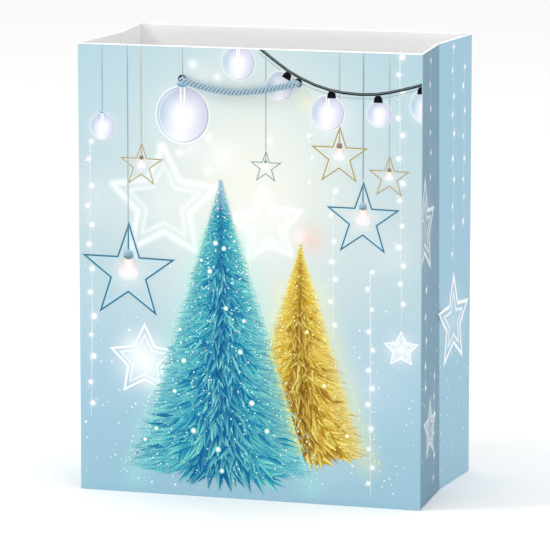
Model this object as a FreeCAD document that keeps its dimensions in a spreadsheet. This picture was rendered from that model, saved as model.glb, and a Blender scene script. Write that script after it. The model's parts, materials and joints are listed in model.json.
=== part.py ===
"""Paper gift bag with folding side gussets, a turned-in top, a layered base and two rope handles.

Frame: millimetres, +Z up, +X to the right of the printed front, -Y out of the front.
The origin is the centre of the base, on the surface that the bag stands on.

The front and back walls are parallel. Each side wall is a gusset of two halves, whose shared
crease stands a little inwards. All six upright creases turn about lines parallel to Z, so the
front folds flat towards the back. The walls other than the back end just above the base board.
"""

import FreeCAD
import Part
import math
import os
import Sketcher

V = FreeCAD.Vector

DIMENSIONS = [
    ("bag_width", 180, "outside, along X"),
    ("bag_depth", 100, "outside, along Y"),
    ("bag_height", 230, "floor to the folded top edge"),
    ("paper", 0.4, "laminated art paper"),
    ("top_board", 0.8, "board strip inside the turned-in top of the front and the back"),
    ("base_board", 1.0, "board laid in the bottom"),
    ("crease_inset", 4, "how far a gusset's middle crease stands inwards"),
    ("crease_gap", 0.1, "free space between two walls at an upright crease"),
    ("lift", 0.3, "free space between the folding walls and the base board"),
    ("hem_height", 28, "how far the paper is turned in at the top"),
    ("hem_corner", 12, "from a corner to the hem of the front or the back"),
    ("gusset_hem_corner", 8, "from a corner to a gusset's hem"),
    ("gusset_hem_crease", 2, "from the middle crease to a gusset's hem"),
    ("board_margin", 3, "hem left over below the top board"),
    ("lap_width", 14, "glued lap at the rear left corner"),
    ("lap_corner", 4, "from the corner to the glued lap"),
    ("side_flap", 46, "reach of each gusset's flap under the base board"),
    ("front_flap", 92, "reach of the outermost base flap"),
    ("rear_flap", 70, "reach of the long base flap above it"),
    ("flap_mitre", 8, "corner cut of the long base flaps"),
    ("board_play", 1.2, "free space round the base board"),
    ("hole_radius", 2, "punched rope holes"),
    ("hole_left", -34.5, "X of the left rope hole"),
    ("hole_right", 26, "X of the right rope hole"),
    ("hole_height", 213.4, "Z of the rope holes"),
    ("cord_radius", 1.7, "twisted rope"),
    ("rope_stand", 2.3, "from a wall's outer face to the middle of the rope hanging outside"),
    ("knot_radius", 4.2, "knot on each rope end"),
    ("knot_neck", 59, "latitude on the knot, in degrees, where the rope enters it"),
    ("rope_end", 8, "loose end below a knot"),
]

# The rope outside the bag hangs in a plane in front of its wall. Its route, as (X, Z).
LOOP_ROUTE = [(-34.5, 213.4), (-22.0, 208.8), (2.0, 207.2), (26.0, 213.4)]
# Inside, each end passes its hole, turns down and leans back to the wall above its knot. This is
# the route as far as all four ends share it, as (distance outwards from the outer face, Z).
END_ROUTE = [(0.3, 213.4), (-2.9, 213.4), (-5.9, 210.4), (-6.3, 203.6), (-6.1, 189.6), (-5.0, 165.6)]
KNOT_DEPTH = -4.7
# Z at which the rope enters each knot. They differ, so that no knots meet when the bag is folded.
KNOT_TOPS = {
    ("front", "left"): 131.0,
    ("front", "right"): 138.0,
    ("back", "left"): 112.0,
    ("back", "right"): 117.0,
}
# How far a tube's volume may be from its section times its length.
VOLUME_TOLERANCE = 0.02

doc = FreeCAD.newDocument("gift_bag")
nodes = []


def make_sheet():
    """The spreadsheet that holds the driving dimensions."""
    sheet = doc.addObject("Spreadsheet::Sheet", "dims")
    for row, (alias, value, meaning) in enumerate(DIMENSIONS, start=1):
        sheet.set(f"A{row}", alias)
        sheet.set(f"B{row}", str(value))
        sheet.setAlias(f"B{row}", alias)
        sheet.set(f"C{row}", meaning)
    doc.recompute()
    return sheet


dims = make_sheet()


def value_of(expression):
    """The number that an expression of the sheet's cells gives now, in millimetres."""
    return float(dims.evalExpression(expression))


def keep(thing, label):
    """Marks a document object as a sub-part. Its label names its file."""
    thing.Label = label
    nodes.append(thing)
    return thing


def place(thing, x="0", y="0", z="0"):
    """Binds the place of a document object to the sheet."""
    thing.setExpression(".Placement.Base.x", x)
    thing.setExpression(".Placement.Base.y", y)
    thing.setExpression(".Placement.Base.z", z)


def slab(name, sizes, corner):
    """A flat rectangular piece: a box from its sizes and its lowest corner, all expressions."""
    box = doc.addObject("Part::Box", name)
    for side, expression in zip(("Length", "Width", "Height"), sizes):
        box.setExpression(side, expression)
    place(box, *corner)
    return box


def pin_point(sketch, geometry, vertex, across, up):
    """Fixes one point of a sketch by its two distances from the sketch's origin."""
    for kind, expression in (("DistanceX", across), ("DistanceY", up)):
        value = value_of(expression)
        index = sketch.addConstraint(Sketcher.Constraint(kind, -1, 1, geometry, vertex, value))
        sketch.setExpression(f"Constraints[{index}]", expression)


def cut_sheet(name, plane, corners, thickness, holes=(), reverse=False):
    """A sheet cut to an outline and punched: a sketch on an origin plane of its body, padded.

    Each corner is (across, up) and each hole (across, up, radius), as expressions.
    """
    body = doc.addObject("PartDesign::Body", name)
    sketch = body.newObject("Sketcher::SketchObject", name + "_outline")
    origin_plane = next(f for f in body.Origin.OriginFeatures if f.Role == plane)
    sketch.AttachmentSupport = (origin_plane, [""])
    sketch.MapMode = "FlatFace"
    points = [V(value_of(across), value_of(up), 0) for across, up in corners]
    for i, point in enumerate(points):
        sketch.addGeometry(Part.LineSegment(point, points[(i + 1) % len(points)]), False)
    for i in range(len(points)):
        sketch.addConstraint(Sketcher.Constraint("Coincident", i, 2, (i + 1) % len(points), 1))
    for i, (across, up) in enumerate(corners):
        pin_point(sketch, i, 1, across, up)
    for across, up, radius in holes:
        centre = V(value_of(across), value_of(up), 0)
        circle = sketch.addGeometry(Part.Circle(centre, V(0, 0, 1), value_of(radius)), False)
        index = sketch.addConstraint(Sketcher.Constraint("Radius", circle, value_of(radius)))
        sketch.setExpression(f"Constraints[{index}]", radius)
        pin_point(sketch, circle, 3, across, up)
    pad = body.newObject("PartDesign::Pad", name + "_pad")
    pad.Profile = sketch
    pad.setExpression("Length", thickness)
    pad.Reversed = reverse
    return body


def rectangle(left, right, low, high):
    """The four corners of a rectangle, as expressions."""
    return [(left, low), (right, low), (right, high), (left, high)]


# Expressions that several sub-parts share.
BASE_TOP = "(3 * dims.paper + dims.base_board)"
WALL_FOOT = f"({BASE_TOP} + dims.lift)"
HEM_FOOT = "(dims.bag_height - dims.hem_height)"
HALF_WIDTH = "(dims.bag_width / 2)"
HALF_DEPTH = "(dims.bag_depth / 2)"
ROPE_HOLES = [
    ("dims.hole_left", "dims.hole_height", "dims.hole_radius"),
    ("dims.hole_right", "dims.hole_height", "dims.hole_radius"),
]


def broad_wall(side):
    """The front or the back: the wall, the board on its inner face and the hem over the board."""
    front = side == "front"
    outwards = "-" if front else ""
    foot = WALL_FOOT if front else "0"
    left = f"-({HALF_WIDTH} - dims.hem_corner)"
    right = f"{HALF_WIDTH} - dims.hem_corner"
    under_fold = "dims.bag_height - dims.paper"

    def upright(name, corners, thickness, depth):
        """A punched sheet whose outer face is at a depth inside the wall's outer face.

        The XZ plane's pads grow towards -Y, which is inwards at the back only.
        """
        sheet = cut_sheet(name, "XZ_Plane", corners, thickness, ROPE_HOLES, reverse=front)
        place(sheet, y=f"{outwards}({HALF_DEPTH} - {depth})")
        return sheet

    outline = rectangle(f"-{HALF_WIDTH}", HALF_WIDTH, foot, "dims.bag_height")
    keep(upright(f"{side}_wall", outline, "dims.paper", "0"), f"{side}_wall")

    outline = rectangle(left, right, f"{HEM_FOOT} + dims.board_margin", under_fold)
    board = upright(f"{side}_top_board", outline, "dims.top_board", "dims.paper")
    keep(board, f"{side}_top_board")

    depth = "dims.paper + dims.top_board"
    flat = upright(
        f"{side}_hem_flat", rectangle(left, right, HEM_FOOT, under_fold), "dims.paper", f"({depth})"
    )
    fold_foot = f"-({HALF_DEPTH} - dims.paper)" if front else f"{HALF_DEPTH} - ({depth} + dims.paper)"
    fold = slab(
        f"{side}_hem_fold",
        (f"2 * ({right})", "dims.top_board + dims.paper", "dims.paper"),
        (left, fold_foot, under_fold),
    )
    hem = doc.addObject("Part::Fuse", f"{side}_hem")
    hem.Base = flat
    hem.Tool = fold
    keep(hem, f"{side}_hem")


def gusset_half(side, half):
    """Half of a gusset, from a corner of the bag to the middle crease, and its hem."""
    outwards = "" if side == "right" else "-"
    along = "-" if half == "front" else ""

    def leaning_sheet(name, depth, nearest, furthest, foot, height):
        """An upright sheet between two distances from the bag's corner.

        Its outer face is at a depth behind the gusset's outer face, which leans inwards from the
        corner to the crease.
        """
        plan = []
        steps = (
            (nearest, depth),
            (furthest, depth),
            (furthest, f"({depth} + dims.paper)"),
            (nearest, f"({depth} + dims.paper)"),
        )
        for distance, inwards in steps:
            lean = f"dims.crease_inset * {distance} / {HALF_DEPTH}"
            x = f"{outwards}({HALF_WIDTH} - {inwards} - {lean})"
            y = f"{along}({HALF_DEPTH} - {distance})"
            plan.append((x, y))
        sheet = cut_sheet(name, "XY_Plane", plan, height)
        place(sheet, z=foot)
        keep(sheet, name)

    crease = f"({HALF_DEPTH} - dims.crease_gap)"
    leaning_sheet(
        f"{side}_gusset_{half}",
        "0",
        "(dims.paper + dims.crease_gap)",
        crease,
        WALL_FOOT,
        f"dims.bag_height - {WALL_FOOT}",
    )
    leaning_sheet(
        f"{side}_gusset_{half}_hem",
        "dims.paper",
        "dims.gusset_hem_corner",
        f"({crease} - dims.gusset_hem_crease)",
        HEM_FOOT,
        "dims.hem_height",
    )


def base():
    """The folded and glued bottom in its order from the floor up, with the board on top."""

    def long_flap(name, edge, tip, inwards, height):
        """The flap of the front or the back, across the whole width, with its corners cut."""
        cut = f"{inwards} dims.flap_mitre"
        outline = [
            (f"-{HALF_WIDTH}", edge),
            (HALF_WIDTH, edge),
            (HALF_WIDTH, f"{tip} - ({cut})"),
            (f"{HALF_WIDTH} - dims.flap_mitre", tip),
            (f"-({HALF_WIDTH} - dims.flap_mitre)", tip),
            (f"-{HALF_WIDTH}", f"{tip} - ({cut})"),
        ]
        flap = cut_sheet(name, "XY_Plane", outline, "dims.paper")
        place(flap, z=height)
        keep(flap, name)

    rear_edge = f"({HALF_DEPTH} - dims.paper)"
    long_flap("base_front_flap", f"-{HALF_DEPTH}", f"(dims.front_flap - {HALF_DEPTH})", "", "0")
    rear_tip = f"({rear_edge} - dims.rear_flap)"
    long_flap("base_rear_flap", rear_edge, rear_tip, "-", "dims.paper")
    for side, x in (("left", f"-{HALF_WIDTH}"), ("right", f"{HALF_WIDTH} - dims.side_flap")):
        name = f"base_{side}_flap"
        sizes = ("dims.side_flap", "dims.bag_depth - dims.paper", "dims.paper")
        keep(slab(name, sizes, (x, f"-{HALF_DEPTH}", "2 * dims.paper")), name)
    half_x = f"({HALF_WIDTH} - dims.paper - dims.board_play)"
    half_y = f"({HALF_DEPTH} - dims.paper - dims.board_play)"
    sizes = (f"2 * {half_x}", f"2 * {half_y}", "dims.base_board")
    board = slab("base_board", sizes, (f"-{half_x}", f"-{half_y}", "3 * dims.paper"))
    keep(board, "base_board")


def glue_lap():
    """The edge strip of the left gusset, glued inside the back wall, that closes the tube."""
    sizes = ("dims.lap_width", "dims.paper", f"{HEM_FOOT} - dims.paper - {BASE_TOP}")
    corner = (f"-({HALF_WIDTH} - dims.lap_corner)", f"{HALF_DEPTH} - 2 * dims.paper", BASE_TOP)
    keep(slab("glue_lap", sizes, corner), "glue_lap")


def route_wire(points):
    """Straight runs joined by tangent arcs, each as large as its two runs allow, and the radii."""
    edges = []
    radii = []
    start = points[0]
    for before, corner, after in zip(points, points[1:], points[2:]):
        run_in = corner - before
        run_out = after - corner
        half_turn = run_in.getAngle(run_out) / 2
        tangent = 0.45 * min(run_in.Length, run_out.Length)
        radius = tangent / math.tan(half_turn)
        run_in.normalize()
        run_out.normalize()
        first = corner - run_in * tangent
        last = corner + run_out * tangent
        inwards = (run_out - run_in).normalize()
        middle = corner + inwards * (radius / math.cos(half_turn) - radius)
        edges.append(Part.LineSegment(start, first).toShape())
        edges.append(Part.Arc(first, middle, last).toShape())
        radii.append(round(radius, 1))
        start = last
    edges.append(Part.LineSegment(start, points[-1]).toShape())
    return Part.Wire(edges), radii


def rope(name, points):
    """A plain tube of the rope's diameter along a route."""
    wire, radii = route_wire(points)
    radius = value_of("dims.cord_radius")
    profile = Part.Wire(Part.makeCircle(radius, points[0], points[1] - points[0]))
    tube = wire.makePipeShell([profile], True, True)
    expected = math.pi * radius**2 * wire.Length
    if abs(tube.Volume / expected - 1) > VOLUME_TOLERANCE:
        raise RuntimeError(f"{name}: the tube's volume isn't its section times its length")
    print(f"{name}: length {wire.Length:.1f}, arc radii {radii}")
    feature = doc.addObject("Part::Feature", name)
    feature.Shape = tube
    keep(feature, name)


def knot(name, x, y, top):
    """The knot on a rope's end: a lump, flat on top where the rope enters it, and a loose end."""
    radius = value_of("dims.knot_radius")
    neck = math.radians(value_of("dims.knot_neck"))
    centre = top - radius * math.sin(neck)
    lump = doc.addObject("Part::Sphere", name + "_lump")
    lump.setExpression("Radius", "dims.knot_radius")
    lump.setExpression("Angle2", "dims.knot_neck")
    lump.Placement.Base = V(x, y, centre)
    end = doc.addObject("Part::Cylinder", name + "_end")
    end.setExpression("Radius", "dims.cord_radius")
    end.setExpression("Height", "dims.rope_end + dims.knot_radius")
    end.Placement.Base = V(x, y, centre - radius - value_of("dims.rope_end"))
    whole = doc.addObject("Part::Fuse", name)
    whole.Base = lump
    whole.Tool = end
    keep(whole, name)


def handle(side):
    """One rope handle: its loop outside the wall, and its two knotted ends inside."""
    outwards = -1 if side == "front" else 1
    face = outwards * value_of(HALF_DEPTH)
    hang = face + outwards * value_of("dims.rope_stand")
    rope(f"{side}_handle_loop", [V(x, hang, z) for x, z in LOOP_ROUTE])
    for end in ("left", "right"):
        x = value_of(f"dims.hole_{end}")
        top = KNOT_TOPS[side, end]
        middle = (END_ROUTE[-1][1] + top) / 2
        route = END_ROUTE + [(KNOT_DEPTH, middle), (KNOT_DEPTH, top)]
        rope(f"{side}_handle_{end}_end", [V(x, face + outwards * out, z) for out, z in route])
        knot(f"{side}_handle_{end}_knot", x, face + outwards * KNOT_DEPTH, top)


def check_and_write():
    """Stops at anything that failed, then writes each sub-part to its own file."""
    for thing in doc.Objects:
        if "Invalid" in thing.State or "Error" in thing.State:
            raise RuntimeError(f"{thing.Label} failed: {thing.State}")
    for node in nodes:
        if node.Shape.isNull() or not node.Shape.isValid() or not node.Shape.Solids:
            raise RuntimeError(f"{node.Label} has no valid solid")
    os.makedirs("parts", exist_ok=True)
    for node in nodes:
        node.Shape.exportStep(os.path.join("parts", node.Label + ".step"))
        box = node.Shape.BoundBox
        print(
            f"{node.Label}: X {box.XMin:.2f} to {box.XMax:.2f}, Y {box.YMin:.2f} to {box.YMax:.2f},"
            f" Z {box.ZMin:.2f} to {box.ZMax:.2f}, volume {node.Shape.Volume:.1f}"
        )
    print(len(nodes), "sub-parts")


for wall in ("front", "back"):
    broad_wall(wall)
for flank in ("left", "right"):
    for part_of_flank in ("front", "rear"):
        gusset_half(flank, part_of_flank)
base()
glue_lap()
for wall in ("front", "back"):
    handle(wall)
doc.recompute()
check_and_write()
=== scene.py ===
"""Looks of the paper gift bag: printed walls, white inside, layered base and twisted rope handles.

Lengths are in millimetres until a mesh is made. On every printed face, "across" runs from left to
right as a viewer in front of that face sees it, and "up" is the height above the table.
"""

import contextlib
import json
import math
import random

import bmesh
import bpy
import numpy as np
from mathutils import Matrix, Vector

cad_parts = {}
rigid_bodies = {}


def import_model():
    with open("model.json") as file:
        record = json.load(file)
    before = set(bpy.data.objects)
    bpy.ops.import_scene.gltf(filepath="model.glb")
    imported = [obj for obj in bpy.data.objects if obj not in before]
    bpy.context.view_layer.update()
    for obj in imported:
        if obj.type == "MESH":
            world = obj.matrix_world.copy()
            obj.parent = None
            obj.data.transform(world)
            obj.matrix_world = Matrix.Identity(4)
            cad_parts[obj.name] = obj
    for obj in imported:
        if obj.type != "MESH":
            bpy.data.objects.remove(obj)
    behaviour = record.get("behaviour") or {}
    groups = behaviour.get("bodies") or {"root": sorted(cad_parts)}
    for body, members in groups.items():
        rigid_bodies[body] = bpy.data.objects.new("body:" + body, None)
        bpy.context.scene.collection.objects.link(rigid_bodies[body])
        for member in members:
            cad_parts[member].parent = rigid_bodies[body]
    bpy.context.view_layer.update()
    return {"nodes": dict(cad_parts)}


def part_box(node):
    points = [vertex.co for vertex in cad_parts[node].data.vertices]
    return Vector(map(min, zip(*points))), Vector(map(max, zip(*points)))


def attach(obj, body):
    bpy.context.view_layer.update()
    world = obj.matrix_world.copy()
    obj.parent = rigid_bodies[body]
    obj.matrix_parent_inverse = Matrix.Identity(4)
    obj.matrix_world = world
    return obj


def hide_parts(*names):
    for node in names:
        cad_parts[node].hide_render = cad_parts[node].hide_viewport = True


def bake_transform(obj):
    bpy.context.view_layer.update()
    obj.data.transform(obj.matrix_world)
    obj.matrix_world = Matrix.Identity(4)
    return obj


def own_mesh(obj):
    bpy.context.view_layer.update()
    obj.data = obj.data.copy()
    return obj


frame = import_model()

MM = 0.001

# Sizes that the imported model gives.
wall_low, wall_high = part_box("front_wall")
hem_low, hem_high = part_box("front_hem")
board_low, board_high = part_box("base_board")
HALF_WIDTH = wall_high.x / MM
HALF_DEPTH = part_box("back_wall")[1].y / MM
TOP = wall_high.z / MM
FOOT = wall_low.z / MM
PAPER = (wall_high.y - wall_low.y) / MM
INNER_X = HALF_WIDTH - PAPER
INNER_Y = HALF_DEPTH - PAPER
HEM_LOW = hem_low.z / MM
HEM_DEPTH = (hem_high.y - hem_low.y) / MM
HEM_HALF = hem_high.x / MM
CREASE = HALF_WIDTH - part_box("right_gusset_rear")[0].x / MM - PAPER
BASE_BOARD_LOW = board_low.z / MM
BASE_BOARD_TOP = board_high.z / MM


# === Colours and materials ===


def ink(code):
    """The linear colour of a hex code."""
    parts = [int(code[i : i + 2], 16) / 255 for i in (0, 2, 4)]
    return np.array([c / 12.92 if c <= 0.04045 else ((c + 0.055) / 1.055) ** 2.4 for c in parts])


def mix(first, second, share):
    """A colour between two: first at share 0, second at share 1."""
    return first * (1 - share) + second * share


WHITE = ink("FFFFFF")
CREAM = ink("F1F1E6")
BLACK = ink("0B0D10")


def material(name, build):
    """A node material. build adds to its tree, given the tree and its shader."""
    made = bpy.data.materials.new(name)
    made.use_nodes = True
    build(made.node_tree, made.node_tree.nodes["Principled BSDF"])
    return made


def set_values(node, values):
    """Sets inputs of a node."""
    for name, value in values.items():
        node.inputs[name].default_value = value


def add_noise(tree, scale, detail=4.0, stretch=None):
    """A noise texture in the object's own coordinates, with an optional stretch of them."""
    place = tree.nodes.new("ShaderNodeTexCoord")
    noise = tree.nodes.new("ShaderNodeTexNoise")
    set_values(noise, {"Scale": scale, "Detail": detail})
    source = place.outputs["Object"]
    if stretch:
        mapping = tree.nodes.new("ShaderNodeMapping")
        set_values(mapping, {"Scale": stretch})
        tree.links.new(source, mapping.inputs["Vector"])
        source = mapping.outputs["Vector"]
    tree.links.new(source, noise.inputs["Vector"])
    return noise.outputs["Fac"]


def add_bump(tree, shader, height, strength, distance):
    """Bump on the shader from a height."""
    bump = tree.nodes.new("ShaderNodeBump")
    set_values(bump, {"Strength": strength, "Distance": distance * MM})
    tree.links.new(height, bump.inputs["Height"])
    tree.links.new(bump.outputs["Normal"], shader.inputs["Normal"])


def roughen(tree, shader, value, low, high):
    """Varies the roughness between two numbers with a value around one half."""
    spread = tree.nodes.new("ShaderNodeMapRange")
    set_values(spread, {"From Min": 0.3, "From Max": 0.7, "To Min": low, "To Max": high})
    tree.links.new(value, spread.inputs["Value"])
    tree.links.new(spread.outputs["Result"], shader.inputs["Roughness"])


def tint(tree, shader, value, first, second):
    """Varies the colour between two hex codes with a value around one half."""
    ramp = tree.nodes.new("ShaderNodeValToRGB")
    for stop, position, colour in zip(ramp.color_ramp.elements, (0.35, 0.65), (first, second)):
        stop.position = position
        stop.color = (*ink(colour), 1)
    tree.links.new(value, ramp.inputs["Fac"])
    tree.links.new(ramp.outputs["Color"], shader.inputs["Base Color"])


def laminated_print(tree, shader):
    """Printed art paper under a thin satin film. The colour is stored on the mesh as "ink"."""
    colour = tree.nodes.new("ShaderNodeAttribute")
    colour.attribute_name = "ink"
    tree.links.new(colour.outputs["Color"], shader.inputs["Base Color"])
    set_values(shader, {"Specular IOR Level": 0.05})
    roughen(tree, shader, add_noise(tree, 90), 0.42, 0.52)
    add_bump(tree, shader, add_noise(tree, 55, 5.0), 0.18, 0.4)


def white_paper(tree, shader):
    """The uncoated white back of the paper, with a faint fibre grain."""
    grain = add_noise(tree, 1500, 6.0)
    tint(tree, shader, grain, "F8F8F7", "FCFCFB")
    roughen(tree, shader, grain, 0.7, 0.85)
    set_values(shader, {"Specular IOR Level": 0.2})
    add_bump(tree, shader, grain, 0.15, 0.03)


def greyboard(tree, shader):
    """Recycled board: grey with light and dark fibres."""
    fibres = add_noise(tree, 1300, 8.0, stretch=(1.0, 0.45, 1.0))
    tint(tree, shader, fibres, "B6B2A9", "D2CEC6")
    roughen(tree, shader, fibres, 0.8, 0.95)
    add_bump(tree, shader, fibres, 0.4, 0.12)


def hole_wall_shade(tree, shader):
    """The wall of a punched hole, painted near-black as the shade inside the hole."""
    fibres = add_noise(tree, 1500, 4.0)
    tint(tree, shader, fibres, "060708", "121315")
    set_values(shader, {"Roughness": 0.9, "Specular IOR Level": 0.05})


def rope_yarn(tree, shader):
    """Satin yarn: pale blue with a fine fibre grain and a soft sheen."""
    fibres = add_noise(tree, 2600, 6.0)
    tint(tree, shader, fibres, "97B2C3", "ABC3D1")
    roughen(tree, shader, fibres, 0.5, 0.68)
    set_values(shader, {"Specular IOR Level": 0.15})
    add_bump(tree, shader, fibres, 0.3, 0.05)


def rope_groove_shade(tree, shader):
    """The core between the strands of a rope, painted dark as the shade in the grooves."""
    fibres = add_noise(tree, 2600, 3.0)
    tint(tree, shader, fibres, "182C3A", "243E4F")
    set_values(shader, {"Roughness": 0.9})


PRINT = material("laminated_print", laminated_print)
PLAIN = material("white_paper", white_paper)
BOARD = material("greyboard", greyboard)
HOLE = material("hole_wall_shade", hole_wall_shade)
YARN = material("rope_yarn", rope_yarn)
CORE = material("rope_groove_shade", rope_groove_shade)


def new_object(name, data):
    """A new object of the scene with its mesh, curve, light or camera."""
    made = bpy.data.objects.new(name, data)
    bpy.context.scene.collection.objects.link(made)
    return made


def declare(piece, body, slot, *nodes):
    """Puts a piece on the body it rides on and hides the CAD nodes that it stands for. Its material slot is
    not used.
    """
    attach(piece, body)
    if nodes:
        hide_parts(*nodes)


def grid_faces(rows, wide):
    """The quads of a grid of points: so many rows of quads, and so many points in each row."""
    return [
        (r * wide + c, r * wide + c + 1, (r + 1) * wide + c + 1, (r + 1) * wide + c)
        for r in range(rows)
        for c in range(wide - 1)
    ]


def ring_faces(rows, around, first=0):
    """The quads between closed rings of points: so many rows of quads, and so many points in each."""
    faces = []
    for row in range(rows):
        for i in range(around):
            a = first + row * around + i
            b = first + row * around + (i + 1) % around
            faces.append((a, b, b + around, a + around))
    return faces


@contextlib.contextmanager
def editing(mesh):
    """A mesh opened as a bmesh. What is done to it is stored at the end."""
    opened = bmesh.new()
    opened.from_mesh(mesh)
    yield opened
    opened.to_mesh(mesh)
    opened.free()


def discard(thing):
    """Removes an object and its data."""
    data = thing.data
    bpy.data.objects.remove(thing)
    bpy.data.batch_remove([data])


def make_piece(name, points, faces, materials, slots=None, colours=None, smooth=False):
    """An object from points in millimetres. slots gives a material for each face."""
    mesh = bpy.data.meshes.new(name)
    mesh.from_pydata([tuple(c * MM for c in p) for p in points], [], [tuple(f) for f in faces])
    for entry in materials:
        mesh.materials.append(entry)
    if slots is not None:
        mesh.polygons.foreach_set("material_index", np.array(slots, np.int32))
    if colours is not None:
        set_ink(mesh, colours)
    mesh.polygons.foreach_set("use_smooth", np.full(len(mesh.polygons), smooth))
    return new_object(name, mesh)


def set_ink(mesh, colours):
    """Stores a linear colour for each point of a mesh."""
    layer = mesh.color_attributes.new("ink", "FLOAT_COLOR", "POINT")
    colours = np.asarray(colours, np.float32).clip(0, 1)
    layer.data.foreach_set("color", np.c_[colours, np.ones(len(colours), np.float32)].ravel())


def mesh_points(mesh):
    """A mesh's points in millimetres."""
    points = np.zeros(len(mesh.vertices) * 3, np.float32)
    mesh.vertices.foreach_get("co", points)
    return points.reshape(-1, 3).astype(float) / MM


# === The printed picture ===

# The sky's colour at the side edges, at heights above the table.
SKY_HEIGHTS = [0, 25, 60, 100, 150, 200, 230]
SKY_EDGE = [ink(c) for c in ("9CC3D4", "9CC3D4", "A6C8D9", "B4CFD9", "BDD3D9", "B5D1DA", "B0CED8")]
# The cream glow behind the trees: its middle and its reach.
GLOW_ACROSS = 2
GLOW_UP = 160
GLOW_WIDE = 54
GLOW_TALL = 68
# The top edge of the print is white over this height.
RIM = 0.55
# Ink shapes end this far from the edges of a broad wall and of a gusset.
SIDE_MARGIN = 0.3
GUSSET_MARGIN = 0.5


def sky(across, up):
    """The background of the broad walls: pale blue with a cream glow."""
    edge = np.stack([np.interp(up, SKY_HEIGHTS, [c[i] for c in SKY_EDGE]) for i in range(3)], -1)
    away = ((across - GLOW_ACROSS) / GLOW_WIDE) ** 2 + ((up - GLOW_UP) / GLOW_TALL) ** 2
    return blend(edge, CREAM, np.exp(-away) * 0.9)


def gusset_sky(across, _up):
    """The background of a gusset: plain blue, with painted shade that makes the half next to the front
    deeper.
    """
    front_half_shade = np.clip((0.5 - across) / 1.0, 0, 1)
    rear = np.tile(ink("A0C6D8"), (len(across), 1))
    return blend(rear, ink("779AAD"), front_half_shade)


def blend(under, over, cover):
    """Colours covered by another colour, each to its own share."""
    cover = np.asarray(cover)[..., None]
    return under * (1 - cover) + over * cover


def angles_round(sides):
    """Even angles round a full turn."""
    return np.linspace(0, math.tau, sides, endpoint=False)


class Background:
    """A printed background: a ground colour with round soft lights in it."""

    def __init__(self, ground):
        self.ground = ground
        self.lights = []
        self.strokes = []

    def light(self, across, up, radius, colour=WHITE, cover=0.5):
        """Adds a soft light. It fades to nothing at its radius."""
        self.lights.append((across, up, radius, colour, cover))

    def stroke(self, outline, width, cover):
        """Adds a closed white stroke out of focus. It fades out to its width on either side."""
        self.strokes.append((np.array(outline), width, cover))

    def stroke_cover(self, outline, width, across, up):
        """How much of a stroke there is at each point."""
        points = np.c_[across, up]
        nearest = np.full(len(points), np.inf)
        for start, end in zip(outline, np.roll(outline, -1, 0)):
            way = end - start
            along = np.clip((points - start) @ way / (way @ way), 0, 1)
            nearest = np.minimum(nearest, np.linalg.norm(points - start - along[:, None] * way, axis=1))
        return np.clip(1.25 - 1.25 * nearest / width, 0, 1) ** 1.3

    def at(self, across, up):
        """The colours at many points."""
        across = np.asarray(across, float)
        up = np.asarray(up, float)
        colours = self.ground(across, up)
        for outline, width, cover in self.strokes:
            share = cover * self.stroke_cover(outline, width, across, up)
            colours = blend(colours, WHITE, share)
        for x, z, radius, colour, cover in self.lights:
            away = np.hypot((across - x) / radius, (up - z) / radius)
            near = away < 1
            colours[near] = blend(colours[near], colour, cover * (1 - away[near]) ** 1.5)
        rim = np.clip((up - (TOP - RIM)) / 0.15, 0, 1)
        return blend(colours, WHITE, rim)


# The lowest ink lies this far off the paper, in millimetres. Shapes at one lift are spread over a
# hair's breadth, by steps that never repeat, so that no two lie in the same plane.
FIRST_LIFT = 0.03
SPREAD = 0.003
GOLDEN = 0.618034
# How far the soft edge of a stroke or a shape reaches, in millimetres.
SOFT_EDGE = 0.12


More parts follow.
